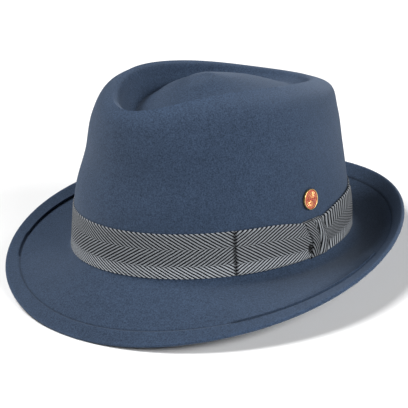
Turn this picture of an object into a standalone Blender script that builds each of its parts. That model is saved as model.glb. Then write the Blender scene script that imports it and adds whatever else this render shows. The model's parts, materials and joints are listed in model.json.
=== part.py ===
"""A felt trilby at its real size, standing on a table as it would by itself.

Crown and brim are one blocked felt. A ribbon goes round the foot of the crown and is pinched at a
flat bow on the wearer's left, where a small round badge is pinned through the felt.

Lengths are in metres and slopes in degrees. A turn is an angle round the head, 0 at the front (-Y)
and 90 at the wearer's left (+X). The hat is shaped level, with the foot of the crown at z = 0, and
an empty then tips it to the pitch at which front brim and back meet the table.
"""

import math

import bmesh
import bpy
import numpy as np
from mathutils import Matrix, Vector
from mathutils.bvhtree import BVHTree

# Felt and the oval of the head, measured inside the crown
FELT = 0.002
HEAD_FRONT = 0.102
HEAD_SIDE = 0.0795
HEAD_BACK = 0.102
HEAD_TAPER = 0.02

# Crown
CROWN_HEIGHT = 0.105
DENT_DEPTH = 0.024
DENT_SHIFT = 0.0035
ISLAND_HEIGHT = 0.107

# Brim
BRIM_WIDTH = 0.050
FOOT_RADIUS = 0.0075
WELT_WIDTH = 0.010
WELT_RISE = 0.0008
WELT_STEP = 0.0008

# Ribbon, bow and knot
RIBBON = 0.001
RIBBON_WIDTH = 0.029
RIBBON_DROP = 0.002
PINCH = 0.005
PINCH_TURN = 92.0
PINCH_SPREAD = 13.0
BOW_FRONT_TURN = 57.0
BOW_BACK_TURN = 131.0
BOW_THICKNESS = 0.0022
BOW_WAIST = 0.0012
KNOT_WIDTH = 0.016
KNOT_LEAN = 0.006
KNOT_THICKNESS = 0.0012
KNOT_PLEAT = 0.0006

# Badge, pinned above the bow
BADGE_TURN = 91.5
BADGE_HEIGHT = 0.0368
BADGE_DIAMETER = 0.015
BADGE_RIM_HEIGHT = 0.0016
BADGE_RIM_WIDTH = 0.0008
BADGE_FLOOR = 0.0007
ENAMEL_DOME = 0.0003
POST_DIAMETER = 0.0011
POST_TAIL = 0.001
CLUTCH_DIAMETER = 0.009
CLUTCH_THICKNESS = 0.003

GAP = 0.0003

# Columns of faces round the hat, along the bow and round the badge
COLUMNS = 48
BOW_COLUMNS = 21
KNOT_COLUMNS = 9
BADGE_SIDES = 24
FINE_STEPS = 8

# Five stations from front to back: width and crest height are shares, slopes are upward degrees
STATIONS = (
    # brim width, slope at the foot, slope at the edge, crest height
    (1.00, -43.0, -52.0, 0.940),
    (1.07, -23.0, -25.0, 1.005),
    (1.12, 3.0, 24.0, 1.000),
    (0.94, 22.0, 59.0, 0.900),
    (0.96, 24.0, 56.0, 0.833),
)

# Wall sections: height share, front, side and back half-lengths as shares, taper, fullness
WALL = (
    (0.00, 1.000, 1.000, 1.000, 0.02, -0.005),
    (0.15, 1.000, 0.993, 0.985, 0.00, -0.006),
    (0.35, 0.985, 0.970, 0.975, 0.01, -0.011),
    (0.58, 0.922, 0.915, 0.973, -0.01, -0.022),
    (0.80, 0.892, 0.872, 0.970, -0.01, -0.037),
    (0.93, 0.855, 0.768, 0.987, -0.02, -0.048),
    (1.00, 0.800, 0.600, 0.870, 0.02, -0.055),
)

# Dent sections: share of the way in, and depth at front, side and back as shares
DENT = (
    (0.00, 0.00, 0.00, 0.00),
    (0.06, 0.10, 0.08, 0.03),
    (0.15, 0.52, 0.41, 0.14),
    (0.28, 1.00, 0.79, 0.27),
    (0.50, 0.46, 0.31, 0.06),
    (0.75, 0.13, 0.09, 0.02),
    (0.97, 0.00, 0.00, 0.00),
)

# A turn small enough to read a direction along the surface
SMALL_TURN = math.radians(0.2)

OUT_FRONT = HEAD_FRONT + FELT
OUT_SIDE = HEAD_SIDE + FELT
OUT_BACK = HEAD_BACK + FELT


def clear_scene():
    for item in list(bpy.data.objects):
        bpy.data.objects.remove(item, do_unlink=True)


def material(name, colour, roughness, metallic=0.0):
    made = bpy.data.materials.new(name)
    made.use_nodes = True
    shader = made.node_tree.nodes["Principled BSDF"]
    shader.inputs["Base Color"].default_value = (*colour, 1.0)
    shader.inputs["Roughness"].default_value = roughness
    shader.inputs["Metallic"].default_value = metallic
    return made


def around(values, turn):
    """A smooth even curve through values given at equal steps from front to back."""
    count = len(values)
    steps = np.linspace(0.0, math.pi, count)
    waves = np.linalg.solve(np.cos(np.outer(steps, np.arange(count))), np.asarray(values, float))
    return np.cos(np.outer(turn, np.arange(count))) @ waves


def oval(front, side, back, taper, fullness, turn):
    c, s = np.cos(turn), np.sin(turn)
    full = 1.0 + fullness * np.sin(2.0 * turn) ** 2
    x = side * s * (1.0 + taper * c) * full
    y = -((front + back) / 2.0 * c + (front - back) / 2.0 * c * c) * full
    return np.stack([x, y], axis=-1)


def smooth_rows(rows, steps):
    """Rings on a smooth curve through the given rings, each a row of points."""
    made = []
    for i in range(len(rows) - 1):
        here, ahead = rows[i], rows[i + 1]
        before = rows[i - 1] if i else 2.0 * here - ahead
        after = rows[i + 2] if i + 2 < len(rows) else 2.0 * ahead - here
        pairs = ((before, here), (here, ahead), (ahead, after))
        d0, d1, d2 = [np.linalg.norm(b - a, axis=1, keepdims=True) + 1e-9 for a, b in pairs]
        lead = ((here - before) / d0 * d1 + (ahead - here) / d1 * d0) / (d0 + d1) * d1
        trail = ((ahead - here) / d1 * d2 + (after - ahead) / d2 * d1) / (d1 + d2) * d1
        for k in range(steps):
            t = k / steps
            made.append((2 * t**3 - 3 * t**2 + 1) * here + (t**3 - 2 * t**2 + t) * lead
                        + (3 * t**2 - 2 * t**3) * ahead + (t**3 - t**2) * trail)
    made.append(rows[-1])
    return np.array(made)


def brim_width(turn):
    return BRIM_WIDTH * around([row[0] for row in STATIONS], turn)


def brim_slope(turn, column):
    return np.radians(around([row[column] for row in STATIONS], turn))


def fillet_length(turn):
    """Length of the curve between the wall and the brim's slope at the foot."""
    return FOOT_RADIUS * (brim_slope(turn, 1) + math.pi / 2.0)


def brim_points(turn, out):
    """Points on the brim's upper face, out metres from the foot along its section."""
    foot = oval(OUT_FRONT, OUT_SIDE, OUT_BACK, HEAD_TAPER, WALL[0][5], turn)
    ahead = oval(OUT_FRONT, OUT_SIDE, OUT_BACK, HEAD_TAPER, WALL[0][5], turn + SMALL_TURN)
    along = (ahead - foot) / np.linalg.norm(ahead - foot, axis=1, keepdims=True)
    outward = np.stack([along[:, 1], -along[:, 0]], axis=-1)
    fillet = fillet_length(turn)
    bend = -math.pi / 2.0 + np.minimum(out, fillet) / FOOT_RADIUS
    reach = FOOT_RADIUS * (1.0 + np.sin(bend))
    rise = -FOOT_RADIUS * np.cos(bend)
    flat = np.maximum(out - fillet, 0.0)
    start, edge = brim_slope(turn, 1), brim_slope(turn, 2)
    share = flat / (brim_width(turn) - fillet)
    middles = (np.arange(16) + 0.5) / 16.0
    slopes = start[:, None] + ((edge - start) * share)[:, None] * middles
    reach = reach + flat * np.cos(slopes).mean(axis=1)
    rise = rise + flat * np.sin(slopes).mean(axis=1)
    return np.concatenate([foot + outward * reach[:, None], rise[:, None]], axis=1)


def wall_rings(turn):
    """Fine rings from the foot to the crest of the crown."""
    crest = CROWN_HEIGHT * around([row[3] for row in STATIONS], turn)
    rows = []
    for share, front, side, back, taper, fullness in WALL:
        ring = oval(OUT_FRONT * front, OUT_SIDE * side, OUT_BACK * back, taper, fullness, turn)
        rows.append(np.concatenate([ring, (crest * share)[:, None]], axis=1))
    return smooth_rows(rows, FINE_STEPS)


def wall_points(turn, up):
    """Points on the crown's outer face, up metres from the foot along its section."""
    rings = wall_rings(turn)
    steps = np.linalg.norm(np.diff(rings, axis=0), axis=2)
    lengths = np.concatenate([np.zeros((1, len(turn))), np.cumsum(steps, axis=0)])
    points = np.empty((len(turn), 3))
    for j in range(len(turn)):
        for axis in range(3):
            points[j, axis] = np.interp(up[j], lengths[:, j], rings[:, j, axis])
    return points


def wall_length(turn):
    rings = wall_rings(turn)
    return np.linalg.norm(np.diff(rings, axis=0), axis=2).sum(axis=0)


def outer_face(turn, up):
    """Points on the upper face of the felt. Below the foot, up is negative and runs out the brim."""
    up = np.broadcast_to(np.asarray(up, float), turn.shape)
    low = brim_points(turn, np.maximum(-up, 0.0))
    high = wall_points(turn, np.maximum(up, 0.0))
    return np.where((up < 0.0)[:, None], low, high)


def lifted(turn, up, lift):
    """Points at a height above the upper face, square to it."""
    turns = np.asarray(turn, float)
    up = np.broadcast_to(np.asarray(up, float), turns.shape)
    lift = np.broadcast_to(np.asarray(lift, float), turns.shape)
    across = outer_face(turns + SMALL_TURN, up) - outer_face(turns - SMALL_TURN, up)
    along = outer_face(turns, up + GAP) - outer_face(turns, up - GAP)
    normal = np.cross(across, along)
    normal /= np.linalg.norm(normal, axis=1, keepdims=True)
    return outer_face(turns, up) + normal * lift[:, None]


def dent_rings(turn, crest):
    """Rings from the crest down into the dent and up its island to the centre."""
    centre = np.array([0.0, -DENT_SHIFT])
    rows = []
    for share, front, side, back in DENT:
        depth = DENT_DEPTH * around([front, side, back], turn)
        ring = centre + (crest[:, :2] - centre) * (1.0 - share)
        height = crest[:, 2] * (1.0 - share) + ISLAND_HEIGHT * share - depth
        rows.append(np.concatenate([ring, height[:, None]], axis=1))
    return smooth_rows(rows, 2)[1:]


def add_object(name, points, faces, finish, parent, sharp=50.0):
    mesh = bpy.data.meshes.new(name)
    mesh.from_pydata([tuple(point) for point in points], [], faces)
    work = bmesh.new()
    work.from_mesh(mesh)
    bmesh.ops.recalc_face_normals(work, faces=work.faces)
    work.to_mesh(mesh)
    work.free()
    mesh.materials.append(finish)
    mesh.shade_smooth()
    mesh.set_sharp_from_angle(angle=math.radians(sharp))
    made = bpy.data.objects.new(name, mesh)
    bpy.context.collection.objects.link(made)
    made.parent = parent
    return made


def grid_faces(rows, columns, first, ring):
    """Quads between the rows of a grid whose points start at index first."""
    faces = []
    for i in range(rows - 1):
        for j in range(columns if ring else columns - 1):
            k = (j + 1) % columns
            a, b = first + i * columns, first + (i + 1) * columns
            faces.append((a + j, a + k, b + k, b + j))
    return faces


def shell(name, outer, inner, ring, finish, parent):
    """A closed solid between two grids of the same size, joined along their borders."""
    rows, columns = outer.shape[:2]
    back = rows * columns
    points = np.concatenate([outer.reshape(-1, 3), inner.reshape(-1, 3)])
    faces = grid_faces(rows, columns, 0, ring)
    faces += [face[::-1] for face in grid_faces(rows, columns, back, ring)]
    for j in range(columns if ring else columns - 1):
        k = (j + 1) % columns
        for row in (0, rows - 1):
            a = row * columns
            faces.append((a + j, back + a + j, back + a + k, a + k))
    if not ring:
        for i in range(rows - 1):
            for column in (0, columns - 1):
                a, b = i * columns + column, (i + 1) * columns + column
                faces.append((a, b, back + b, back + a))
    return add_object(name, points, faces, finish, parent)


def turned(name, profile, finish, parent):
    """A round solid from radius and height pairs, which start and end on the axis."""
    points, rings = [], []
    for radius, height in profile:
        if radius == 0.0:
            rings.append([len(points)])
            points.append((0.0, 0.0, height))
            continue
        rings.append(list(range(len(points), len(points) + BADGE_SIDES)))
        for k in range(BADGE_SIDES):
            angle = 2.0 * math.pi * k / BADGE_SIDES
            points.append((radius * math.cos(angle), radius * math.sin(angle), height))
    faces = []
    for low, high in zip(rings, rings[1:]):
        for k in range(BADGE_SIDES):
            nxt = (k + 1) % BADGE_SIDES
            if len(low) == 1:
                faces.append((low[0], high[nxt], high[k]))
            elif len(high) == 1:
                faces.append((low[k], low[nxt], high[0]))
            else:
                faces.append((low[k], low[nxt], high[nxt], high[k]))
    return add_object(name, points, faces, finish, parent, 30.0)


def grid_normals(grid):
    across = np.roll(grid, -1, axis=1) - np.roll(grid, 1, axis=1)
    along = np.gradient(grid, axis=0)
    normal = np.cross(across, along)
    return normal / np.linalg.norm(normal, axis=2, keepdims=True)


def felt_body(turn, finish, parent):
    """Crown and brim as one felt wall, with the edge turned over as a welt on the upper side."""
    width, fillet = brim_width(turn), fillet_length(turn)
    round_edge = (FELT + WELT_RISE) / 2.0
    field = width - WELT_WIDTH - WELT_STEP
    stations = [-(width - round_edge), -(width - WELT_WIDTH), -field]
    stations += [-(fillet + (field - fillet) * share) for share in (0.7, 0.35, 0.0)]
    curve = fillet - RIBBON_DROP
    stations += [-(RIBBON_DROP + curve * share) for share in (0.62, 0.28, 0.0)]
    band_top = RIBBON_WIDTH - RIBBON_DROP
    stations += [band_top * share for share in (0.0, 0.35, 0.7, 1.0)]
    above = wall_length(turn) - band_top
    stations += [band_top + above * share for share in (0.22, 0.42, 0.6, 0.74, 0.85, 0.93, 1.0)]
    upper = np.array([outer_face(turn, station) for station in stations])
    upper = np.concatenate([upper, dent_rings(turn, upper[-1])])
    normal = grid_normals(upper)
    under = upper - normal * FELT
    upper[:2] += normal[:2] * WELT_RISE
    out = upper[0] - upper[1]
    out /= np.linalg.norm(out, axis=1, keepdims=True)
    middle = (upper[0] + under[0]) / 2.0
    half = (upper[0] - under[0]) / 2.0
    edge = [middle + half * math.cos(a) + out * round_edge * math.sin(a)
            for a in np.radians((45.0, 90.0, 135.0))]
    loop = np.concatenate([upper[::-1], np.array(edge), np.delete(under, 2, axis=0)])
    rows = len(loop)
    centre = Vector((0.0, -DENT_SHIFT, ISLAND_HEIGHT))
    points = list(loop.reshape(-1, 3)) + [centre, centre - Vector((0.0, 0.0, FELT))]
    faces = grid_faces(rows, COLUMNS, 0, True)
    top, below, last = rows * COLUMNS, rows * COLUMNS + 1, (rows - 1) * COLUMNS
    for j in range(COLUMNS):
        k = (j + 1) % COLUMNS
        faces.append((top, k, j))
        faces.append((below, last + j, last + k))
    return add_object("felt_body", points, faces, finish, parent)


def ribbon_top(turn):
    """Height of the ribbon's upper edge, which dips where the knot pinches it."""
    away = (np.degrees(turn) - PINCH_TURN) / PINCH_SPREAD
    return RIBBON_WIDTH - RIBBON_DROP - PINCH * np.exp(-away**2)


def ribbon_grid(turn, shares, lifts):
    """Points over the ribbon, by shares of its height, lifted off the felt."""
    low, high = -RIBBON_DROP, ribbon_top(turn)
    return np.array([lifted(turn, low + (high - low) * share, lift)
                     for share, lift in zip(shares, lifts)])


def bow_turns():
    return np.radians(np.linspace(BOW_FRONT_TURN, BOW_BACK_TURN, BOW_COLUMNS))


def band(turn, finish, parent):
    """The ribbon all round, with finer columns where the bow lies on it."""
    turn = np.unique(np.round(np.concatenate([turn, bow_turns()]), 6))
    shares = (0.0, 0.08, 0.38, 0.7, 1.0)
    inner = ribbon_grid(turn, shares, [GAP] * len(shares))
    outer = ribbon_grid(turn, shares, [GAP + RIBBON] * len(shares))
    return shell("band", outer, inner, True, finish, parent)


def bow(finish, parent):
    """A flat folded loop to each side of a waist, lying on the band."""
    turn = bow_turns()
    away = np.abs(np.degrees(turn) - PINCH_TURN)
    pinched = np.exp(-(away / (PINCH_SPREAD / 2.0)) ** 2)
    thick = BOW_THICKNESS + (BOW_WAIST - BOW_THICKNESS) * pinched
    thick[[0, -1]] *= 0.6
    seat = GAP + RIBBON + GAP
    shares = (0.0, 0.05, 0.35, 0.65, 0.95, 1.0)
    fill = (0.5, 0.9, 1.0, 1.0, 0.9, 0.5)
    inner = ribbon_grid(turn, shares, [seat] * len(shares))
    outer = ribbon_grid(turn, shares, [seat + thick * share for share in fill])
    return shell("bow", outer, inner, False, finish, parent)


def bow_knot(finish, parent):
    """A pleated wrap over the waist, its ends tucked round the ribbon's edges to the felt."""
    half = math.degrees(KNOT_WIDTH / 2.0 / OUT_FRONT)
    spread = np.linspace(-1.0, 1.0, KNOT_COLUMNS)
    turn = np.radians(PINCH_TURN + half * spread)
    lean = KNOT_LEAN / OUT_FRONT
    seat = GAP + RIBBON + GAP + BOW_THICKNESS + GAP
    pleat = KNOT_PLEAT * (0.5 + 0.5 * np.cos(spread * 3.0 * math.pi)) * (1.0 - spread**8)
    low = -RIBBON_DROP - GAP
    span = ribbon_top(turn - lean / 2.0) + GAP - low
    inside = [(0.0, GAP), (0.0, seat * 0.7), (0.06, seat), (0.35, seat), (0.65, seat),
              (0.94, seat), (1.0, seat * 0.7), (1.0, GAP)]
    t = KNOT_THICKNESS
    outset = [(-t, 0.0), (-t, t * 0.4), (-t * 0.3, t), (0.0, t), (0.0, t), (t * 0.3, t),
              (t, t * 0.4), (t, 0.0)]
    inner, outer = [], []
    for (share, lift), (beyond, proud) in zip(inside, outset):
        raised = pleat if proud == t else 0.0
        leaned = turn + lean * (0.5 - share)
        inner.append(lifted(leaned, low + span * share, lift))
        outer.append(lifted(leaned, low + span * share + beyond, lift + proud + raised))
    return shell("bow_knot", np.array(outer), np.array(inner), False, finish, parent)


def badge_frame():
    """Centre, outward axis and matrix of the badge on the felt's outer face."""
    turn = np.radians([BADGE_TURN])
    point = lifted(turn, BADGE_HEIGHT, 0.0)[0]
    axis = Vector(lifted(turn, BADGE_HEIGHT, 1.0)[0] - point).normalized()
    side = axis.cross(Vector((0.0, 0.0, 1.0))).normalized()
    up = side.cross(axis)
    basis = Matrix((side, up, axis)).transposed().to_4x4()
    return Matrix.Translation(Vector(point)) @ basis


def felt_reach(tree, frame, radius, outward):
    """How far the felt reaches along the badge's axis under a disc, from its outer or inner side."""
    start = BADGE_DIAMETER if outward else -BADGE_DIAMETER
    axis = (frame.to_3x3() @ Vector((0.0, 0.0, 1.0))).normalized()
    reaches = []
    for share in (0.0, 0.5, 1.0):
        for k in range(BADGE_SIDES):
            angle = 2.0 * math.pi * k / BADGE_SIDES
            r = radius * share
            origin = frame @ Vector((r * math.cos(angle), r * math.sin(angle), start))
            hit = tree.ray_cast(origin, -axis if outward else axis)
            if hit[0] is not None:
                reaches.append(start - hit[3] if outward else start + hit[3])
    return max(reaches) if outward else min(reaches)


def badge_pieces(felt, gold, enamel, parent):
    """The cup with its post, the enamel disc in it and the clutch inside the crown."""
    frame = badge_frame()
    tree = BVHTree.FromPolygons([v.co for v in felt.data.vertices],
                                [tuple(p.vertices) for p in felt.data.polygons])
    radius, post = BADGE_DIAMETER / 2.0, POST_DIAMETER / 2.0
    seat = felt_reach(tree, frame, radius, True) + GAP
    clutch_top = felt_reach(tree, frame, CLUTCH_DIAMETER / 2.0, False) - GAP
    clutch_low = clutch_top - CLUTCH_THICKNESS
    tip = clutch_low - POST_TAIL
    cup = radius - BADGE_RIM_WIDTH
    chamfer = BADGE_RIM_WIDTH * 0.3
    rim = seat + BADGE_RIM_HEIGHT
    badge = turned("badge", (
        (0.0, tip), (post, tip), (post, seat), (radius, seat), (radius, rim - chamfer),
        (radius - chamfer, rim), (cup + chamfer, rim), (cup, rim - chamfer),
        (cup, seat + BADGE_FLOOR), (0.0, seat + BADGE_FLOOR)), gold, parent)
    disc = cup - GAP
    low, high = seat + BADGE_FLOOR + GAP, rim - chamfer
    fill = turned("badge_enamel", (
        (0.0, low), (disc, low), (disc, high), (disc * 0.6, high + ENAMEL_DOME * 0.7),
        (0.0, high + ENAMEL_DOME)), enamel, parent)
    bore = post + GAP
    ring = [(bore, clutch_low), (CLUTCH_DIAMETER / 2.0, clutch_low),
            (CLUTCH_DIAMETER / 2.0, clutch_top), (bore, clutch_top)]
    clutch = turned_ring("badge_clutch", ring, gold, parent)
    deep = BADGE_DIAMETER
    cutter = turned("post_hole", ((0.0, -deep), (bore, -deep), (bore, deep), (0.0, deep)),
                    gold, parent)
    cutter.hide_render = True
    cutter.display_type = "WIRE"
    for piece in (badge, fill, clutch, cutter):
        piece.matrix_local = frame
    cut = felt.modifiers.new("post hole", "BOOLEAN")
    cut.operation = "DIFFERENCE"
    cut.solver = "EXACT"
    cut.object = cutter


def turned_ring(name, profile, finish, parent):
    """A round solid with a bore, from a closed loop of radius and height pairs."""
    points, faces = [], []
    for radius, height in profile:
        for k in range(BADGE_SIDES):
            angle = 2.0 * math.pi * k / BADGE_SIDES
            points.append((radius * math.cos(angle), radius * math.sin(angle), height))
    for i in range(len(profile)):
        a, b = i * BADGE_SIDES, (i + 1) % len(profile) * BADGE_SIDES
        for k in range(BADGE_SIDES):
            nxt = (k + 1) % BADGE_SIDES
            faces.append((a + k, a + nxt, b + nxt, b + k))
    return add_object(name, points, faces, finish, parent, 30.0)


def rest_on_table(parent, felt):
    """Tip the empty until the front brim and the back stand level, and set the hat on z = 0."""
    points = np.array([tuple(v.co) for v in felt.data.vertices])
    front, back = points[points[:, 1] < 0.0], points[points[:, 1] > 0.0]

    def heights(group, pitch):
        return group[:, 2] * math.cos(pitch) - group[:, 1] * math.sin(pitch)

    low, high = math.radians(-15.0), math.radians(30.0)
    for _ in range(50):
        pitch = (low + high) / 2.0
        if heights(front, pitch).min() < heights(back, pitch).min():
            low = pitch
        else:
            high = pitch
    turned_y = points[:, 1] * math.cos(pitch) + points[:, 2] * math.sin(pitch)
    middle = (turned_y.min() + turned_y.max()) / 2.0
    parent.rotation_euler = (-pitch, 0.0, 0.0)
    parent.location = (0.0, -middle, -heights(points, pitch).min())


def main():
    clear_scene()
    felt_finish = material("wool_felt", (0.055, 0.083, 0.135), 0.95)
    ribbon_finish = material("herringbone_ribbon", (0.24, 0.27, 0.31), 0.75)
    gold = material("gilt_brass", (0.83, 0.58, 0.24), 0.3, 1.0)
    enamel = material("orange_enamel", (0.62, 0.08, 0.03), 0.2)
    resting = bpy.data.objects.new("resting_hat", None)
    bpy.context.collection.objects.link(resting)
    turn = np.linspace(0.0, 2.0 * math.pi, COLUMNS, endpoint=False)
    turn = np.where(turn > math.pi, turn - 2.0 * math.pi, turn)
    felt = felt_body(turn, felt_finish, resting)
    rest_on_table(resting, felt)
    band(turn, ribbon_finish, resting)
    bow(ribbon_finish, resting)
    bow_knot(ribbon_finish, resting)
    badge_pieces(felt, gold, enamel, resting)
    bpy.context.view_layer.update()


main()
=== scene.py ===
"""Looks of the trilby: blocked wool felt, herringbone ribbon, side bow and enamel badge.

A turn is an angle round the head in radians, 0 at the front and a quarter turn at the wearer's left.
Lengths are metres. The hat is shaped level, with the foot of its crown at z = 0, and is then put
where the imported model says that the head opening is.
"""

import json
import math

import bmesh
import bpy
import numpy as np
from mathutils import Matrix, Vector


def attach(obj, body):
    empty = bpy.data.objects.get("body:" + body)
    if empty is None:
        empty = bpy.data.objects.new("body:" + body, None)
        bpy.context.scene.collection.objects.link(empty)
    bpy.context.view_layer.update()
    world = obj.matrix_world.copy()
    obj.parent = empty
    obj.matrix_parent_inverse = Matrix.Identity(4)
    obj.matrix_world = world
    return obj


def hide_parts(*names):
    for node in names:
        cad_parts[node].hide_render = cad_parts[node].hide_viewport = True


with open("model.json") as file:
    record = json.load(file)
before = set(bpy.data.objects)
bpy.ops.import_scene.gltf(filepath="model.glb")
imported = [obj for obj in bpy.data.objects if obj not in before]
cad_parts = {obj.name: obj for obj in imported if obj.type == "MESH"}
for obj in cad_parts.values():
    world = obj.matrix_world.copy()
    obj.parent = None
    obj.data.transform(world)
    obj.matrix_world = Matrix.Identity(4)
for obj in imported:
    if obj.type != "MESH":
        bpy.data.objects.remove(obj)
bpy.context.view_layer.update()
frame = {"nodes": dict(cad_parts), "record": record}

MM = 0.001

# Felt and the oval of its crown at the foot, outside
FELT = 2.0 * MM
FOOT_FRONT = 104.0 * MM
FOOT_SIDE = 81.5 * MM
FOOT_BACK = 104.0 * MM
FOOT_TAPER = 0.02
FOOT_RADIUS = 7.5 * MM

# Crown and brim
CROWN_HEIGHT = 105.0 * MM
DENT_DEPTH = 24.0 * MM
DENT_SHIFT = 3.5 * MM
ISLAND_HEIGHT = 107.0 * MM
BRIM_WIDTH = 50.0 * MM
WELT_WIDTH = 10.0 * MM
WELT_RISE = 0.6 * MM

# Ribbon, bow and knot
RIBBON_WIDTH = 29.0 * MM
RIBBON_DROP = 2.0 * MM
RIBBON = 0.6 * MM
SNUG = 0.15 * MM
PINCH = 5.0 * MM
PINCH_TURN = math.radians(92.0)
PINCH_SPREAD = math.radians(13.0)
BOW_FRONT = math.radians(57.0)
BOW_BACK = math.radians(131.0)
BOW_THICKNESS = 1.3 * MM
BOW_SEAT = SNUG + RIBBON + 0.15 * MM
KNOT_THICKNESS = 0.9 * MM

# Badge
BADGE_TURN = math.radians(91.5)
BADGE_UP = 36.4 * MM
BADGE_RADIUS = 6.75 * MM
BADGE_RIM = 0.8 * MM
BADGE_HEIGHT = 1.6 * MM

# Faces round the hat
COLUMNS = 224

# Front, front corner, side, back corner and back of the hat
STATIONS = (
    # brim width share, slope at the foot, slope at the edge, crest height share
    (1.00, -43.0, -52.0, 0.940),
    (1.07, -23.0, -25.0, 1.005),
    (1.12, 3.0, 24.0, 1.000),
    (0.94, 22.0, 59.0, 0.900),
    (0.96, 24.0, 56.0, 0.833),
)

# Wall sections: height share, front, side and back half-lengths as shares, taper, fullness
WALL = (
    (0.00, 1.000, 1.000, 1.000, 0.02, -0.005),
    (0.15, 1.000, 0.993, 0.985, 0.00, -0.006),
    (0.35, 0.985, 0.970, 0.975, 0.01, -0.011),
    (0.58, 0.922, 0.915, 0.973, -0.01, -0.022),
    (0.80, 0.892, 0.872, 0.970, -0.01, -0.037),
    (0.93, 0.855, 0.768, 0.987, -0.02, -0.048),
    (1.00, 0.800, 0.600, 0.870, 0.02, -0.055),
)

# Dent sections: share of the way in, and depth at front, side and back as shares
DENT = (
    (0.00, 0.00, 0.00, 0.00),
    (0.05, 0.11, 0.08, 0.03),
    (0.10, 0.55, 0.38, 0.14),
    (0.18, 1.00, 0.68, 0.27),
    (0.28, 0.91, 0.56, 0.23),
    (0.40, 0.70, 0.39, 0.15),
    (0.58, 0.46, 0.24, 0.05),
    (0.78, 0.13, 0.08, 0.02),
    (0.97, 0.00, 0.00, 0.00),
)

# Knot sections: share of the way up, then the left edge, the crease between the first two
# pleats, the crease after the second and the right edge, in mm from the middle of the pinch
KNOT = (
    (0.00, -4.0, 4.2, 11.4, 14.4),
    (0.20, -2.2, 4.8, 12.8, 15.6),
    (0.40, -1.2, 5.0, 12.6, 16.2),
    (0.60, -3.4, 4.4, 10.8, 14.4),
    (0.80, -6.8, 2.2, 7.6, 11.0),
    (1.00, -9.6, -0.4, 5.4, 8.0),
)


def placement():
    """The matrix from the level hat to the hat as it stands, read from the head opening."""
    mount = next(m for m in frame["record"]["mounts"] if m["name"] == "head_opening")
    axis = mount["axis"]
    pitch = math.atan2(-axis[1], -axis[2])
    return Matrix.Translation(Vector(mount["pos_m"])) @ Matrix.Rotation(-pitch, 4, "X")


STANDING = placement()


def around(values, turn):
    """A smooth even curve through values given at equal steps from front to back."""
    count = len(values)
    steps = np.linspace(0.0, math.pi, count)
    waves = np.linalg.solve(np.cos(np.outer(steps, np.arange(count))), np.asarray(values, float))
    return np.cos(np.outer(turn, np.arange(count))) @ waves


def oval(front, side, back, taper, fullness, turn):
    c, s = np.cos(turn), np.sin(turn)
    full = 1.0 + fullness * np.sin(2.0 * turn) ** 2
    x = side * s * (1.0 + taper * c) * full
    y = -((front + back) / 2.0 * c + (front - back) / 2.0 * c * c) * full
    return np.stack([x, y], axis=-1)


def smooth_rows(rows, steps):
    """Rings on a smooth curve through the given rings, each a row of points."""
    made = []
    for i in range(len(rows) - 1):
        here, ahead = rows[i], rows[i + 1]
        before = rows[i - 1] if i else 2.0 * here - ahead
        after = rows[i + 2] if i + 2 < len(rows) else 2.0 * ahead - here
        pairs = ((before, here), (here, ahead), (ahead, after))
        d0, d1, d2 = [np.linalg.norm(b - a, axis=1, keepdims=True) + 1e-9 for a, b in pairs]
        lead = ((here - before) / d0 * d1 + (ahead - here) / d1 * d0) / (d0 + d1) * d1
        trail = ((ahead - here) / d1 * d2 + (after - ahead) / d2 * d1) / (d1 + d2) * d1
        for k in range(steps):
            t = k / steps
            made.append((2 * t**3 - 3 * t**2 + 1) * here + (t**3 - 2 * t**2 + t) * lead
                        + (3 * t**2 - 2 * t**3) * ahead + (t**3 - t**2) * trail)
    made.append(rows[-1])
    return np.array(made)


def station(turn, column):
    return around([row[column] for row in STATIONS], turn)


def brim_width(turn):
    return BRIM_WIDTH * station(turn, 0)


def fillet_length(turn):
    return FOOT_RADIUS * (np.radians(station(turn, 1)) + math.pi / 2.0)


def foot_ring(turn):
    return oval(FOOT_FRONT, FOOT_SIDE, FOOT_BACK, FOOT_TAPER, WALL[0][5], turn)


def brim_points(turn, out):
    """Points on the brim's upper face, out metres from the foot along its section."""
    foot = foot_ring(turn)
    along = foot_ring(turn + 1e-4) - foot
    along /= np.linalg.norm(along, axis=1, keepdims=True)
    outward = np.stack([along[:, 1], -along[:, 0]], axis=-1)
    fillet = fillet_length(turn)
    bend = -math.pi / 2.0 + np.minimum(out, fillet) / FOOT_RADIUS
    flat = np.maximum(out - fillet, 0.0)
    start, edge = np.radians(station(turn, 1)), np.radians(station(turn, 2))
    middles = (np.arange(16) + 0.5) / 16.0
    share = flat / (brim_width(turn) - fillet)
    slopes = start[:, None] + ((edge - start) * share)[:, None] * middles
    reach = FOOT_RADIUS * (1.0 + np.sin(bend)) + flat * np.cos(slopes).mean(axis=1)
    rise = -FOOT_RADIUS * np.cos(bend) + flat * np.sin(slopes).mean(axis=1)
    return np.concatenate([foot + outward * reach[:, None], rise[:, None]], axis=1)


def wall_rings(turn):
    crest = CROWN_HEIGHT * station(turn, 3)
    rows = []
    for share, front, side, back, taper, fullness in WALL:
        ring = oval(FOOT_FRONT * front, FOOT_SIDE * side, FOOT_BACK * back, taper, fullness, turn)
        rows.append(np.concatenate([ring, (crest * share)[:, None]], axis=1))
    return smooth_rows(rows, 8)


def wall_lengths(rings):
    steps = np.linalg.norm(np.diff(rings, axis=0), axis=2)
    return np.concatenate([np.zeros((1, rings.shape[1])), np.cumsum(steps, axis=0)])


def wall_points(turn, up):
    """Points on the crown's outer face, up metres from the foot along its section."""
    rings = wall_rings(turn)
    lengths = wall_lengths(rings)
    points = np.empty((len(turn), 3))
    for j in range(len(turn)):
        for axis in range(3):
            points[j, axis] = np.interp(up[j], lengths[:, j], rings[:, j, axis])
    return points


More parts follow.
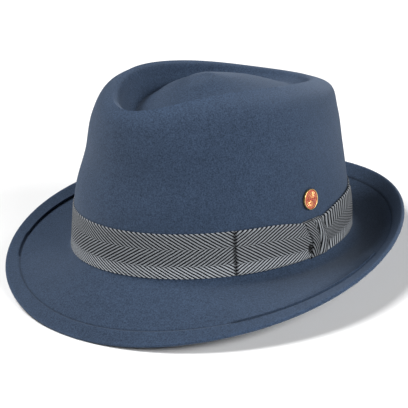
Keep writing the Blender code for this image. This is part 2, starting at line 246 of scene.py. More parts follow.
def outer_face(turn, up):
    """Points on the felt's upper face. Below the foot, up is negative and runs out the brim."""
    low = brim_points(turn, np.maximum(-up, 0.0))
    high = wall_points(turn, np.maximum(up, 0.0))
    return np.where((up < 0.0)[:, None], low, high)


def lifted(turn, up, lift):
    """A grid of points above the felt's upper face, square to it."""
    turn, up, lift = np.broadcast_arrays(turn, up, lift)
    shape = turn.shape
    turn, up, lift = turn.ravel(), up.ravel(), lift.ravel()
    small, step = math.radians(0.2), 0.3 * MM
    across = outer_face(turn + small, up) - outer_face(turn - small, up)
    along = outer_face(turn, up + step) - outer_face(turn, up - step)
    normal = np.cross(across, along)
    normal /= np.linalg.norm(normal, axis=1, keepdims=True)
    return (outer_face(turn, up) + normal * lift[:, None]).reshape(*shape, 3)


def ramp(low, high, value):
    """0 below low and 1 above high, with an even ease between."""
    t = np.clip((value - low) / (high - low), 0.0, 1.0)
    return t * t * (3.0 - 2.0 * t)


def grid_faces(rows, columns, first, ring):
    faces = []
    for i in range(rows - 1):
        for j in range(columns if ring else columns - 1):
            k = (j + 1) % columns
            a, b = first + i * columns, first + (i + 1) * columns
            faces.append((a + j, a + k, b + k, b + j))
    return faces


def shell_faces(rows, columns, ring):
    """Faces of a closed solid between two grids of points, the outer one first."""
    back = rows * columns
    faces = grid_faces(rows, columns, 0, ring)
    faces += [face[::-1] for face in grid_faces(rows, columns, back, ring)]
    for j in range(columns if ring else columns - 1):
        k = (j + 1) % columns
        for row in (0, rows - 1):
            a = row * columns
            faces.append((a + j, back + a + j, back + a + k, a + k))
    if not ring:
        for i in range(rows - 1):
            for column in (0, columns - 1):
                a, b = i * columns + column, (i + 1) * columns + column
                faces.append((a, b, back + b, back + a))
    return faces


def piece(name, points, faces, finish, marks=None, sharp=60.0, weld=0.0):
    """A mesh object in the hat's standing place, with named vectors on its points."""
    mesh = bpy.data.meshes.new(name)
    mesh.from_pydata([tuple(p) for p in points], [], faces)
    for mark, values in (marks or {}).items():
        layer = mesh.attributes.new(mark, "FLOAT_VECTOR", "POINT")
        layer.data.foreach_set("vector", np.ascontiguousarray(values, np.float32).ravel())
    work = bmesh.new()
    work.from_mesh(mesh)
    if weld:
        bmesh.ops.remove_doubles(work, verts=work.verts, dist=weld)
    bmesh.ops.recalc_face_normals(work, faces=work.faces)
    work.to_mesh(mesh)
    work.free()
    mesh.transform(STANDING)
    mesh.materials.append(finish)
    mesh.shade_smooth()
    mesh.set_sharp_from_angle(angle=math.radians(sharp))
    made = bpy.data.objects.new(name, mesh)
    bpy.context.collection.objects.link(made)
    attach(made, "root")
    return made


def srgb(code):
    """A linear colour with alpha from an sRGB hex value such as 3f4d63."""
    parts = [int(code[i:i + 2], 16) / 255.0 for i in (0, 2, 4)]
    linear = [p / 12.92 if p <= 0.04045 else ((p + 0.055) / 1.055) ** 2.4 for p in parts]
    return (*linear, 1.0)


def node(tree, kind, inputs=None, out=0, **settings):
    """Adds a node with its settings, values and links, and gives the socket that it feeds on."""
    made = tree.nodes.new(kind)
    for key, value in settings.items():
        setattr(made, key, value)
    for socket, source in (inputs or {}).items():
        if isinstance(source, bpy.types.NodeSocket):
            tree.links.new(source, made.inputs[socket])
        else:
            made.inputs[socket].default_value = source
    return made.outputs[out]


def new_material(name):
    made = bpy.data.materials.new(name)
    made.use_nodes = True
    tree = made.node_tree
    shader = tree.nodes["Principled BSDF"]
    return made, tree, shader


def per_mm(size):
    """The scale of a pattern in metre coordinates whose features are size millimetres."""
    return 1000.0 / size


def wool_felt():
    """Blocked wool felt: matt, a short nap that catches light at grazing angles, mixed fibres."""
    made, tree, shader = new_material("blocked_wool_felt")
    place = node(tree, "ShaderNodeTexCoord", out="Object")
    # Single fibres are 0.02 mm and too fine to show, so the fleck is drawn at 0.9 mm
    fleck = node(tree, "ShaderNodeTexNoise", {"Vector": place, "Scale": per_mm(0.9),
                                              "Detail": 3.0, "Roughness": 0.7})
    mottle = node(tree, "ShaderNodeTexNoise", {"Vector": place, "Scale": per_mm(7.0),
                                               "Detail": 3.0, "Roughness": 0.6})
    cloud = node(tree, "ShaderNodeTexNoise", {"Vector": place, "Scale": per_mm(45.0),
                                              "Detail": 2.0})
    # X is wear together with painted highlight, Y is painted shade along the groove inside the welt
    marks = node(tree, "ShaderNodeAttribute", out="Vector", attribute_name="felt_wear_and_painted_light")
    worn_and_lit = node(tree, "ShaderNodeSeparateXYZ", {0: marks}, out="X")
    groove_and_painted_shade = node(tree, "ShaderNodeSeparateXYZ", {0: marks}, out="Y")
    tone = node(tree, "ShaderNodeMapRange", {"Value": fleck, "From Min": 0.3, "From Max": 0.7})
    base = node(tree, "ShaderNodeMix", {"Factor": tone, "A": srgb("172333"), "B": srgb("394960")},
                out="Result", data_type="RGBA")
    shade = node(tree, "ShaderNodeMapRange", {"Value": mottle, "From Min": 0.3, "From Max": 0.7,
                                              "To Min": 0.93, "To Max": 1.06})
    wide = node(tree, "ShaderNodeMapRange", {"Value": cloud, "From Min": 0.3, "From Max": 0.7,
                                             "To Min": 0.96, "To Max": 1.04})
    both = node(tree, "ShaderNodeMath", {0: shade, 1: wide}, operation="MULTIPLY")
    # Painted highlight with wear: the crest and the rolled edge are painted lighter
    lift = node(tree, "ShaderNodeMath", {0: worn_and_lit, 1: 0.22, 2: 1.0}, operation="MULTIPLY_ADD")
    # Painted shade: the felt is darker along the groove inside the welt
    painted_groove_shade = node(tree, "ShaderNodeMath", {0: groove_and_painted_shade, 1: -0.45, 2: 1.0}, operation="MULTIPLY_ADD")
    # Painted highlight and painted shade multiplied together into the felt's colour
    edge = node(tree, "ShaderNodeMath", {0: lift, 1: painted_groove_shade}, operation="MULTIPLY")
    value = node(tree, "ShaderNodeMath", {0: both, 1: edge}, operation="MULTIPLY")
    colour = node(tree, "ShaderNodeVectorMath", {0: base, "Scale": value}, operation="SCALE")
    fibre = node(tree, "ShaderNodeTexNoise", {"Vector": place, "Scale": per_mm(0.7),
                                              "Detail": 4.0, "Roughness": 0.75})
    nap = node(tree, "ShaderNodeBump", {"Height": fibre, "Strength": 0.5, "Distance": 0.25 * MM})
    lumps = node(tree, "ShaderNodeBump", {"Height": mottle, "Strength": 0.25,
                                          "Distance": 0.5 * MM, "Normal": nap})
    tree.links.new(colour, shader.inputs["Base Color"])
    tree.links.new(lumps, shader.inputs["Normal"])
    shader.inputs["Roughness"].default_value = 0.95
    shader.inputs["Specular IOR Level"].default_value = 0.15
    shader.inputs["Sheen Weight"].default_value = 0.25
    shader.inputs["Sheen Roughness"].default_value = 0.6
    shader.inputs["Sheen Tint"].default_value = srgb("a9b6c9")
    return made


def herringbone_ribbon():
    """Woven herringbone ribbon: three rows of twill in pale grey on charcoal, barely shiny."""
    made, tree, shader = new_material("herringbone_ribbon")
    marks = node(tree, "ShaderNodeAttribute", out="Vector", attribute_name="ribbon_mm")
    along = node(tree, "ShaderNodeSeparateXYZ", {0: marks}, out="X")
    across = node(tree, "ShaderNodeSeparateXYZ", {0: marks}, out="Y")
    # The third mark is painted light and shade set by each piece, multiplied into the cloth's colour
    shade = node(tree, "ShaderNodeSeparateXYZ", {0: marks}, out="Z")
    # The rows meet at 8 and 19 mm of the 29 mm width, where the twill turns back
    over_first = node(tree, "ShaderNodeMath", {0: across, 1: 8.0}, operation="SUBTRACT")
    over_first = node(tree, "ShaderNodeMath", {0: over_first, 1: 0.0}, operation="MAXIMUM")
    over_second = node(tree, "ShaderNodeMath", {0: across, 1: 19.0}, operation="SUBTRACT")
    over_second = node(tree, "ShaderNodeMath", {0: over_second, 1: 0.0}, operation="MAXIMUM")
    zigzag = node(tree, "ShaderNodeMath", {0: over_first, 1: -2.0, 2: across},
                  operation="MULTIPLY_ADD")
    zigzag = node(tree, "ShaderNodeMath", {0: over_second, 1: 2.0, 2: zigzag},
                  operation="MULTIPLY_ADD")
    place = node(tree, "ShaderNodeTexCoord", out="Object")
    drift = node(tree, "ShaderNodeTexNoise", {"Vector": place, "Scale": per_mm(6.0),
                                              "Detail": 2.0})
    drift = node(tree, "ShaderNodeMath", {0: drift, 1: 0.5}, operation="SUBTRACT")
    slant = node(tree, "ShaderNodeMath", {0: zigzag, 1: 1.58, 2: along}, operation="MULTIPLY_ADD")
    slant = node(tree, "ShaderNodeMath", {0: drift, 1: 1.0, 2: slant}, operation="MULTIPLY_ADD")
    phase = node(tree, "ShaderNodeMath", {0: slant, 1: 3.38}, operation="DIVIDE")
    in_first = node(tree, "ShaderNodeMath", {0: across, 1: 8.0}, operation="GREATER_THAN")
    in_second = node(tree, "ShaderNodeMath", {0: across, 1: 19.0}, operation="GREATER_THAN")
    middle = node(tree, "ShaderNodeMath", {0: in_first, 1: in_second}, operation="SUBTRACT")
    phase = node(tree, "ShaderNodeMath", {0: middle, 1: 0.5, 2: phase}, operation="MULTIPLY_ADD")
    wave = node(tree, "ShaderNodeMath", {0: phase, 1: 0.5}, operation="PINGPONG")
    stripe = node(tree, "ShaderNodeMapRange", {"Value": wave, "From Min": 0.21, "From Max": 0.29},
                  interpolation_type="SMOOTHSTEP")
    # Threads are 0.35 mm apart and cross every stripe
    thread = node(tree, "ShaderNodeMath", {0: across, 1: 2.0 * math.pi / 0.7},
                  operation="MULTIPLY")
    thread = node(tree, "ShaderNodeMath", {0: thread}, operation="SINE")
    fuzz = node(tree, "ShaderNodeTexNoise", {"Vector": place, "Scale": per_mm(0.8),
                                             "Detail": 3.0})
    dark = node(tree, "ShaderNodeMix", {"Factor": fuzz, "A": srgb("040608"), "B": srgb("0c0f14")},
                out="Result", data_type="RGBA")
    pale = node(tree, "ShaderNodeMix", {"Factor": fuzz, "A": srgb("71757b"), "B": srgb("9da1a5")},
                out="Result", data_type="RGBA")
    cloth = node(tree, "ShaderNodeMix", {"Factor": stripe, "A": dark, "B": pale},
                 out="Result", data_type="RGBA")
    warp = node(tree, "ShaderNodeMapRange", {"Value": thread, "From Min": -1.0, "From Max": 1.0,
                                             "To Min": 0.9, "To Max": 1.06})
    light = node(tree, "ShaderNodeMath", {0: warp, 1: shade}, operation="MULTIPLY")
    colour = node(tree, "ShaderNodeVectorMath", {0: cloth, "Scale": light}, operation="SCALE")
    ridge = node(tree, "ShaderNodeMath", {0: thread, 1: 0.2, 2: stripe}, operation="MULTIPLY_ADD")
    weave = node(tree, "ShaderNodeBump", {"Height": ridge, "Strength": 0.6, "Distance": 0.2 * MM})
    tree.links.new(colour, shader.inputs["Base Color"])
    tree.links.new(weave, shader.inputs["Normal"])
    shader.inputs["Roughness"].default_value = 0.72
    shader.inputs["Specular IOR Level"].default_value = 0.12
    return made


def gilt_brass():
    """Stamped brass with thin gilding: soft gloss, faint polishing marks, colour that varies at
    random.
    """
    made, tree, shader = new_material("gilt_brass")
    place = node(tree, "ShaderNodeTexCoord", out="Object")
    tarnish = node(tree, "ShaderNodeTexNoise", {"Vector": place, "Scale": per_mm(2.5),
                                                "Detail": 4.0})
    colour = node(tree, "ShaderNodeMix", {"Factor": tarnish, "A": srgb("c79a55"),
                                          "B": srgb("f0cf93")}, out="Result", data_type="RGBA")
    gloss = node(tree, "ShaderNodeMapRange", {"Value": tarnish, "To Min": 0.24, "To Max": 0.42})
    fine = node(tree, "ShaderNodeTexNoise", {"Vector": place, "Scale": per_mm(0.3)})
    marks = node(tree, "ShaderNodeBump", {"Height": fine, "Strength": 0.15,
                                          "Distance": 0.05 * MM})
    tree.links.new(colour, shader.inputs["Base Color"])
    tree.links.new(gloss, shader.inputs["Roughness"])
    tree.links.new(marks, shader.inputs["Normal"])
    shader.inputs["Metallic"].default_value = 1.0
    return made


def fired_enamel():
    """Translucent orange-red enamel fired over metal: glassy, slightly uneven in depth."""
    made, tree, shader = new_material("fired_orange_enamel")
    place = node(tree, "ShaderNodeTexCoord", out="Object")
    depth = node(tree, "ShaderNodeTexNoise", {"Vector": place, "Scale": per_mm(1.6),
                                              "Detail": 3.0})
    colour = node(tree, "ShaderNodeMix", {"Factor": depth, "A": srgb("8e1f12"),
                                          "B": srgb("c24526")}, out="Result", data_type="RGBA")
    tree.links.new(colour, shader.inputs["Base Color"])
    shader.inputs["Roughness"].default_value = 0.22
    shader.inputs["Coat Weight"].default_value = 0.4
    shader.inputs["Coat Roughness"].default_value = 0.08
    return made


def grid_normals(grid):
    across = np.roll(grid, -1, axis=1) - np.roll(grid, 1, axis=1)
    along = np.gradient(grid, axis=0)
    normal = np.cross(across, along)
    return normal / np.linalg.norm(normal, axis=2, keepdims=True)


def dent_rings(turn, crest, steps):
    """Rings from the crest down into the dent and up its island to the centre."""
    centre = np.array([0.0, -DENT_SHIFT])
    rows = []
    for share, front, side, back in DENT:
        depth = DENT_DEPTH * around([front, side, back], turn)
        ring = centre + (crest[:, :2] - centre) * (1.0 - share)
        height = crest[:, 2] * (1.0 - share) + ISLAND_HEIGHT * share - depth
        rows.append(np.concatenate([ring, height[:, None]], axis=1))
    return smooth_rows(rows, steps)[1:]


def felt_body(finish):
    """Crown and brim in one felt, with the edge turned over on the upper side as a welt."""
    turn = np.linspace(0.0, 2.0 * math.pi, COLUMNS, endpoint=False)
    width = brim_width(turn)
    edge_round = (FELT + WELT_RISE) / 2.0
    first = width - edge_round
    welt_share = (WELT_WIDTH - edge_round) / BRIM_WIDTH
    outs = [first * (1.0 - welt_share * s) for s in (0.0, 0.12, 0.3, 0.5, 0.7, 0.85, 0.94, 1.0)]
    fall = width - WELT_WIDTH
    outs += [fall - step * MM for step in (0.25, 0.5, 0.75, 1.0, 1.3, 1.7, 2.3)]
    outs += [(fall - 2.3 * MM) * (1.0 - s) for s in np.linspace(0.0, 1.0, 34)[1:]]
    length = wall_lengths(wall_rings(turn))[-1]
    ups = [length * s for s in np.linspace(0.0, 1.0, 58)[1:]]
    upper = np.array([outer_face(turn, -o) for o in outs] + [outer_face(turn, u) for u in ups])
    upper = np.concatenate([upper, dent_rings(turn, upper[-1], 8)])
    normal = grid_normals(upper)
    rows = len(upper)
    out_of_edge = np.full((rows, COLUMNS), -1.0)
    out_of_edge[:len(outs)] = width - np.array(outs)
    inside = np.where(out_of_edge < 0.0, 1.0, out_of_edge)
    welt = 1.0 - ramp(WELT_WIDTH - 0.2 * MM, WELT_WIDTH + 1.1 * MM, inside)
    # The groove's profile also paints shade into the felt's colour
    groove_and_painted_shade = np.exp(-((inside - WELT_WIDTH - 0.9 * MM) / (0.5 * MM)) ** 2)
    under = upper - normal * FELT
    upper = upper + normal * (WELT_RISE * welt - 0.15 * MM * groove_and_painted_shade)[:, :, None]
    out = upper[0] - upper[1]
    out /= np.linalg.norm(out, axis=1, keepdims=True)
    middle, half = (upper[0] + under[0]) / 2.0, (upper[0] - under[0]) / 2.0
    edge = [middle + half * math.cos(a) + out * edge_round * math.sin(a)
            for a in np.radians(np.linspace(0.0, 180.0, 9)[1:-1])]
    loop = np.concatenate([upper[::-1], np.array(edge), under])
    # The crest of the crown and the brim's rolled edge are painted lighter: partly wear, partly
    # painted highlight where they round over into the light
    crest_row = len(outs) + len(ups) - 1
    from_crest = np.abs(np.arange(rows) - crest_row)
    wear_and_highlight = 0.8 * np.exp(-(from_crest / 5.0) ** 2)[:, None] * np.ones(COLUMNS)
    wear_and_highlight = wear_and_highlight + 0.9 * (1.0 - ramp(0.0, 3.0 * MM, inside))
    marks = np.stack([wear_and_highlight, groove_and_painted_shade, 0.0 * wear_and_highlight], axis=-1)
    # The rolled edge itself is painted lighter too, as wear and painted highlight
    edge_wear_and_highlight = np.tile(np.array([0.9, 0.0, 0.0]), (len(edge), COLUMNS, 1))
    marks = np.concatenate([marks[::-1], edge_wear_and_highlight, 0.0 * marks])
    centre = Vector((0.0, -DENT_SHIFT, ISLAND_HEIGHT))
    points = list(loop.reshape(-1, 3)) + [centre, centre - Vector((0.0, 0.0, FELT))]
    marks = np.concatenate([marks.reshape(-1, 3), np.zeros((2, 3))])
    faces = grid_faces(len(loop), COLUMNS, 0, True)
    top, below, last = len(loop) * COLUMNS, len(loop) * COLUMNS + 1, (len(loop) - 1) * COLUMNS
    for j in range(COLUMNS):
        k = (j + 1) % COLUMNS
        faces.append((top, k, j))
        faces.append((below, last + j, last + k))
    made = piece("felt_hat_body", points, faces, finish, {"felt_wear_and_painted_light": marks})
    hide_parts("felt_body")
    return made


def from_pinch(turn):
    """The turn from the middle of the pinch, the short way round."""
    return (turn - PINCH_TURN + math.pi) % (2.0 * math.pi) - math.pi


def ribbon_top(turn):
    """Height of the ribbon's upper edge, which dips where the knot pinches it."""
    return RIBBON_WIDTH - RIBBON_DROP - PINCH * np.exp(-(from_pinch(turn) / PINCH_SPREAD) ** 2)


def foot_distance(turn):
    """Distance round the foot of the crown from the middle of the pinch, in metres."""
    fine = np.linspace(-2.0 * math.pi, 2.0 * math.pi, 4001)
    ring = foot_ring(fine)
    steps = np.concatenate([[0.0], np.cumsum(np.linalg.norm(np.diff(ring, axis=0), axis=1))])
    return np.interp(turn, fine, steps) - np.interp(PINCH_TURN, fine, steps)


def turn_at(distance):
    """The turn that lies a distance round the foot from the middle of the pinch."""
    fine = np.linspace(PINCH_TURN - 1.0, PINCH_TURN + 1.0, 801)
    return np.interp(distance, foot_distance(fine), fine)


def ribbon_place(turn, share, lift):
    """Points over the ribbon by share of its local height, lifted off the felt."""
    turn, share, lift = np.broadcast_arrays(turn, share, lift)
    up = -RIBBON_DROP + (ribbon_top(turn) + RIBBON_DROP) * share
    return lifted(turn, up, lift)


def ribbon_piece(name, outer, inner, along, across, shade, finish, slot_nodes, weld=0.0):
    """A ribbon solid between two grids, with its place in the weave in millimetres and its painted
    light and shade.
    """
    rows, columns = outer.shape[:2]
    weave = np.stack(np.broadcast_arrays(along / MM, across / MM, shade), axis=-1)
    weave = np.broadcast_to(weave, (rows, columns, 3))
    points = np.concatenate([outer.reshape(-1, 3), inner.reshape(-1, 3)])
    marks = np.concatenate([weave.reshape(-1, 3), weave.reshape(-1, 3)])
    faces = shell_faces(rows, columns, False)
    made = piece(name, points, faces, finish, {"ribbon_mm": marks}, weld=weld)
    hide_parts(*slot_nodes)
    return made


def row_light(share):
    """Painted light: the ribbon's lowest row, turned up to the light, is painted brighter, and the
    colour is lighter along the upper edge.
    """
    return 0.9 + 0.6 * (1.0 - ramp(0.2, 0.34, share)) + 0.25 * ramp(0.965, 0.985, share)


def band(finish):
    """The ribbon round the foot of the crown, its ends meeting under the bow."""
    joint = math.radians(0.15)
    turn = np.linspace(PINCH_TURN + joint - 2.0 * math.pi, PINCH_TURN - joint, 480)[None, :]
    share = np.array([0.0, 0.01, 0.03, 0.08, 0.15, 0.22, 0.3, 0.38, 0.46, 0.54, 0.62, 0.7, 0.78,
                      0.86, 0.93, 0.97, 0.99, 1.0])[:, None]
    away = from_pinch(turn)
    soft = math.radians(1.5)
    covered = ramp(BOW_FRONT - PINCH_TURN, BOW_FRONT - PINCH_TURN + soft, away)
    covered = covered * (1.0 - ramp(BOW_BACK - PINCH_TURN - soft, BOW_BACK - PINCH_TURN, away))
    # The upper edge stands a little off the felt, more in some places than in others
    loose = ramp(0.75, 1.0, share) * (0.10 + 0.08 * np.sin(5.0 * turn + 1.0)
                                      + 0.05 * np.sin(11.0 * turn)) * MM * (1.0 - covered)
    edge = 1.0 - 0.35 * (ramp(0.97, 1.0, share) + 1.0 - ramp(0.0, 0.03, share))
    held = share * (1.0 - 0.05 * covered) + 0.02 * covered
    inner = ribbon_place(turn, held, SNUG + loose)
    outer = ribbon_place(turn, held, SNUG + loose + RIBBON * edge)
    along = foot_distance(turn)
    across = RIBBON_WIDTH * share
    # Painted shadow: a dark line on the band just before the bow's folded front end
    painted_seam_shadow = np.exp(-((along - foot_distance(BOW_FRONT) + 0.4 * MM) / (0.6 * MM)) ** 2)
    shade = row_light(share) * (1.0 - 0.95 * painted_seam_shadow)
    return ribbon_piece("ribbon_band", outer, inner, along, across, shade, finish, ["band"])


def bow(finish):
    """The folded ribbon: a front loop with its fold at the front, and a loop fanned to the back."""
    turn = np.linspace(BOW_FRONT, BOW_BACK, 190)[None, :]
    share = np.linspace(0.0, 1.0, 48)[:, None]
    distance = foot_distance(turn)
    from_front = distance - distance[0, 0]
    to_back = distance[0, -1] - distance
    near_end = np.clip(1.0 - np.minimum(from_front, to_back) / (0.8 * MM), 0.0, 1.0)
    fold = np.sqrt(1.0 - near_end**2)
    run = np.abs(distance) / MM
    held = np.exp(-(run / 9.0) ** 2)
    puff = 0.8 * MM * np.exp(-((run - 17.0) / 8.0) ** 2)
    full = (BOW_THICKNESS * (1.0 - 0.35 * held) + puff) * (0.35 + 0.65 * fold)
    # Folds run out from the knot and die away along each loop
    fade = ramp(5.0, 12.0, run) * (1.0 - ramp(14.0, 40.0, run))
    folds = 0.3 * MM * fade * np.sin((share - 0.5) * (8.0 + 50.0 / (run + 8.0)) + 0.6)
    # The loop's mouth opens low down beside the knot, and its hollow is painted dark as shade
    mouth_and_painted_shade = ((distance + 3.6 * MM) / (2.3 * MM)) ** 2 + ((share - 0.26) / 0.15) ** 2
    mouth_and_painted_shade = np.exp(-(mouth_and_painted_shade**2))
    rim = ramp(0.0, 0.04, share) * (1.0 - ramp(0.96, 1.0, share))
    lift = BOW_SEAT + full * (0.55 + 0.45 * rim) + (folds - 1.2 * MM * mouth_and_painted_shade) * rim
    lift = np.maximum(lift, BOW_SEAT + 0.25 * MM)
    outer = ribbon_place(turn, share, lift)
    inner = ribbon_place(turn, share, BOW_SEAT + 0.0 * lift)
    # The back loop is pulled askew by the knot, the more the nearer to it
    askew = ramp(0.0, 10.0 * MM, distance) * (1.0 - 0.3 * ramp(30.0 * MM, 80.0 * MM, distance))
    across = RIBBON_WIDTH * share
    along = -distance - 1.6 * askew * (across - 0.5 * RIBBON_WIDTH)
    # Painted light and shade: the row light, painted shade in the mouth and a painted shadow line
    # along the front fold
    shade = row_light(share) * (1.0 - 0.95 * mouth_and_painted_shade) * (1.0 - 0.5 * np.exp(-(from_front / MM) ** 2))
    return ribbon_piece("ribbon_bow", outer, inner, along, across, shade, finish, ["bow"])


def knot_edge(share, column):
    """One of the knot's edges or creases up its height, smoothed between the table's rows."""
    rows = np.array(KNOT)
    spread = np.linspace(-0.08, 0.08, 9)[:, None, None]
    return np.interp(share + spread, rows[:, 0], rows[:, column]).mean(axis=0) * MM


def bow_knot(finish):
    """The wrap over the waist, folded lengthwise into pleats, its ends tucked behind the band."""
    across = np.linspace(-1.0, 1.0, 73)[None, :]
    down = np.linspace(0.0, 1.0, 64)[:, None]
    tuck = 0.08
    rise = ramp(0.0, tuck, down) * (1.0 - ramp(1.0 - tuck, 1.0, down))
    share = np.clip((down - tuck * 0.6) / (1.0 - 1.2 * tuck), 0.0, 1.0)
    left, first, second, right = [knot_edge(share, column) for column in (1, 2, 3, 4)]
    place = left + (right - left) * (0.5 + 0.5 * across)
    # Part of the way over each of the three pleats
    parts = [(place - a) / (b - a) for a, b in ((left, first), (first, second), (second, right))]
    pleats = [np.clip(4.0 * p * (1.0 - p), 0.0, 1.0) ** 0.45 * h
              for p, h in zip(parts, (0.75, 1.35, 0.55))]
    bulge = np.maximum(np.maximum(pleats[0], pleats[1]), pleats[2])
    low = -RIBBON_DROP - 0.3 * MM
    high = ribbon_top(PINCH_TURN) + 0.6 * MM
    up = low + (high - low) * share
    side = 1.0 - across**16
    seat = BOW_SEAT + BOW_THICKNESS * 0.7
    lift = SNUG + (seat - SNUG) * rise
    thick = KNOT_THICKNESS * (0.5 + 0.5 * side) * (0.5 + 0.5 * rise) + bulge * MM * rise * side
    beyond = 0.8 * MM * (ramp(1.0 - tuck, 1.0, down) + ramp(0.0, tuck, down) - 1.0)
    turn = turn_at(place)
    inner = lifted(turn, up, lift)
    outer = lifted(turn, up + beyond, lift + thick)
    # Millimetres of ribbon from one side of each pleat to the other
    starts, spans, draws = (1.0, 13.5, 19.5), (8.5, 6.0, 7.5), (1.0, 0.3, 1.0)
    weave, draw = 0.0 * place, 0.0 * place
    for p, start, span, stretch in zip(parts, starts, spans, draws):
        inside = (p >= 0.0) & (p <= 1.0)
        weave = np.where(inside, start + span * p, weave)
        draw = np.where(inside, stretch, draw)
    along = (down - 0.5) * 28.0 * MM * draw
    # Painted shade in the creases between the pleats and a painted highlight on the middle pleat
    painted_crease_shade = np.exp(-((place - first) / (0.5 * MM)) ** 2)
    painted_crease_shade = painted_crease_shade + 0.5 * np.exp(-((place - second) / (0.5 * MM)) ** 2)
    shade = 0.8 + 0.35 * (draw < 1.0) - 0.5 * painted_crease_shade
    return ribbon_piece("ribbon_knot", outer, inner, along, weave * MM, shade, finish,
                        ["bow_knot"])


def badge_frame():
    """Where the badge sits: its centre on the felt's face and its outward axis."""
    turn, up = np.array([BADGE_TURN]), np.array([BADGE_UP])
    point = lifted(turn, up, 0.0)[0]
    axis = Vector(lifted(turn, up, 1.0)[0] - point).normalized()
    side = axis.cross(Vector((0.0, 0.0, 1.0))).normalized()
    basis = Matrix((side, side.cross(axis), axis)).transposed().to_4x4()
    return Matrix.Translation(Vector(point)) @ basis


def turned(profile, sides):
    """Points and faces of a round solid from radius and height pairs that end on the axis."""
    points, rings, faces = [], [], []
    for radius, height in profile:
        if radius == 0.0:
            rings.append([len(points)])
            points.append(Vector((0.0, 0.0, height)))
            continue
        rings.append(list(range(len(points), len(points) + sides)))
        for k in range(sides):
            a = 2.0 * math.pi * k / sides
            points.append(Vector((radius * math.cos(a), radius * math.sin(a), height)))
    for low, high in zip(rings, rings[1:]):
        for k in range(sides):
            n = (k + 1) % sides
            if len(low) == 1:
                faces.append((low[0], high[n], high[k]))
            elif len(high) == 1:
                faces.append((low[k], low[n], high[0]))
            else:
                faces.append((low[k], low[n], high[n], high[k]))
    return points, faces


def arc(centre, radius, start, end, count):
    """Points of a circle's arc in radius and height, angles in degrees."""
    return [(centre[0] + radius * math.cos(math.radians(a)),
             centre[1] + radius * math.sin(math.radians(a))) for a in np.linspace(start, end, count)]


def badge(gold, enamel):
    """A stamped cup with a rolled rim, enamel in it, and a sunburst of gilt wires let into that."""
    spot = badge_frame()
    seat = 0.4 * MM
    top = seat + BADGE_HEIGHT
    half = BADGE_RIM / 2.0
    floor = seat + 0.7 * MM
    rim = arc((BADGE_RADIUS - half, top - half), half, 0.0, 180.0, 9)
    profile = [(0.0, seat), (BADGE_RADIUS - 0.2 * MM, seat), (BADGE_RADIUS, seat + 0.2 * MM)]
    profile += rim + [(BADGE_RADIUS - BADGE_RIM, floor), (0.0, floor)]
    points, faces = turned(profile, 64)
    cup = piece("badge_cup", [spot @ p for p in points], faces, gold, sharp=40.0)
    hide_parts("badge")
    disc = BADGE_RADIUS - BADGE_RIM - 0.05 * MM
    level = top - 0.35 * MM
    dome = [(disc * s, level + 0.3 * MM * (1.0 - s * s)) for s in (1.0, 0.85, 0.65, 0.4, 0.2)]
    points, faces = turned([(0.0, floor + 0.05 * MM), (disc, floor + 0.05 * MM)] + dome
                           + [(0.0, level + 0.3 * MM)], 64)
    glass = piece("badge_glass", [spot @ p for p in points], faces, enamel, sharp=40.0)
    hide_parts("badge_enamel")
    points, faces = [], []
    for ring_share, rays, length_share in ((0.36, 10, 0.20), (0.70, 20, 0.17)):
        for k in range(rays):
            a = 2.0 * math.pi * (k + 0.5 * (rays == 20)) / rays
            add_wire(points, faces, disc, ring_share, length_share, a, level)
    wires = piece("badge_wires", [spot @ p for p in points], faces, gold, sharp=40.0)
    return cup


def add_wire(points, faces, disc, share, reach, angle, level):
    """One short gilt bar along a ray of the badge, rounded over and sunk into the enamel."""
    half_wide = 0.26 * MM
    ray = Vector((math.cos(angle), math.sin(angle), 0.0))
    across = Vector((-ray.y, ray.x, 0.0))
    first = len(points)
    section = ((-1.0, -0.2), (-0.7, 0.16), (0.0, 0.26), (0.7, 0.16), (1.0, -0.2))
    for end in (-1.0, 1.0):
        r = disc * (share + reach * end)
        dome = level + 0.3 * MM * (1.0 - (r / disc) ** 2)
        for wide, high in section:
            points.append(ray * r + across * wide * half_wide * (1.0 + 0.3 * end)
                          + Vector((0.0, 0.0, dome + high * MM)))
    count = len(section)
    for i in range(count):
        j = (i + 1) % count
        faces.append((first + i, first + j, first + count + j, first + count + i))
    faces.append(tuple(range(first, first + count)))
    faces.append(tuple(reversed(range(first + count, first + 2 * count))))


WORLD_STRENGTH = 0.03

# Name, bearing from the front and height in degrees, distance and width in metres, watts
LIGHTS = (
    ("left_window", -60.0, 60.0, 4.0, 2.0, 186.0),
    ("right_window", 108.0, 24.0, 4.0, 1.6, 104.0),
    ("front_window", 75.0, 30.0, 4.0, 1.6, 70.0),
)


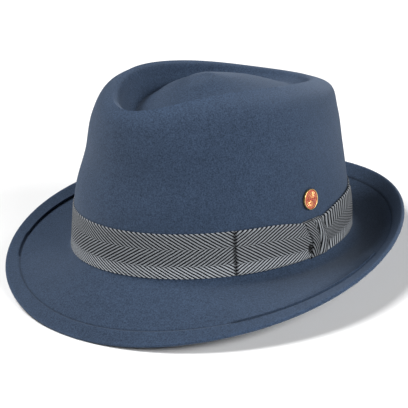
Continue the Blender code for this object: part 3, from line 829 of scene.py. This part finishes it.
def studio():
    """A plain pale floor, a faint even world and three soft window lights."""
    floor_finish, tree, shader = new_material("pale_floor")
    shader.inputs["Base Color"].default_value = srgb("f4f4f4")
    shader.inputs["Roughness"].default_value = 0.9
    shader.inputs["Specular IOR Level"].default_value = 0.1
    size = 6.0
    mesh = bpy.data.meshes.new("floor")
    mesh.from_pydata([(-size, -size, 0.0), (size, -size, 0.0), (size, size, 0.0),
                      (-size, size, 0.0)], [], [(0, 1, 2, 3)])
    mesh.materials.append(floor_finish)
    floor = bpy.data.objects.new("floor", mesh)
    bpy.context.collection.objects.link(floor)

    world = bpy.data.worlds.new("studio")
    world.use_nodes = True
    back = world.node_tree.nodes["Background"]
    back.inputs["Color"].default_value = srgb("ffffff")
    back.inputs["Strength"].default_value = WORLD_STRENGTH
    bpy.context.scene.world = world

    for name, bearing, height, distance, wide, energy in LIGHTS:
        data = bpy.data.lights.new(name, "AREA")
        data.energy = energy
        data.shape = "DISK"
        data.size = wide
        lamp = bpy.data.objects.new(name, data)
        a, e = math.radians(bearing), math.radians(height)
        toward = Vector((math.sin(a) * math.cos(e), -math.cos(a) * math.cos(e), math.sin(e)))
        lamp.location = toward * distance
        lamp.rotation_euler = toward.to_track_quat("Z", "Y").to_euler()
        bpy.context.collection.objects.link(lamp)


# The camera stands as in the photograph, measured against the level hat
CAMERA_AZIMUTH = math.radians(41.8)
CAMERA_ELEVATION = math.radians(18.06)
CAMERA_DISTANCE = 1.632
CAMERA_RIGHT = -6.3 * MM
CAMERA_UP = 16.5 * MM
FOCAL_PIXELS = 2475.0
IMAGE_PIXELS = 408.0
SENSOR_MM = 36.0


def camera():
    """The photograph's view, carried over from the level hat to the standing one."""
    a, e = CAMERA_AZIMUTH, CAMERA_ELEVATION
    back = Vector((math.sin(a) * math.cos(e), -math.cos(a) * math.cos(e), math.sin(e)))
    right = Vector((math.cos(a), math.sin(a), 0.0))
    up = back.cross(right)
    eye = right * CAMERA_RIGHT + Vector((0.0, 0.0, CAMERA_UP)) + back * CAMERA_DISTANCE
    data = bpy.data.cameras.new("photo_view")
    data.sensor_width = SENSOR_MM
    data.lens = FOCAL_PIXELS * SENSOR_MM / IMAGE_PIXELS
    eye_object = bpy.data.objects.new("photo_view", data)
    level = Matrix((right, up, back)).transposed().to_4x4()
    eye_object.matrix_world = STANDING @ Matrix.Translation(eye) @ level
    bpy.context.collection.objects.link(eye_object)
    bpy.context.scene.camera = eye_object
    bpy.context.scene.view_settings.view_transform = "Standard"


def main():
    camera()
    studio()
    felt = wool_felt()
    ribbon = herringbone_ribbon()
    gold = gilt_brass()
    felt_body(felt)
    band(ribbon)
    bow(ribbon)
    bow_knot(ribbon)
    badge(gold, fired_enamel())
    clutch = frame["nodes"]["badge_clutch"]
    clutch.material_slots[0].material = gold


main()
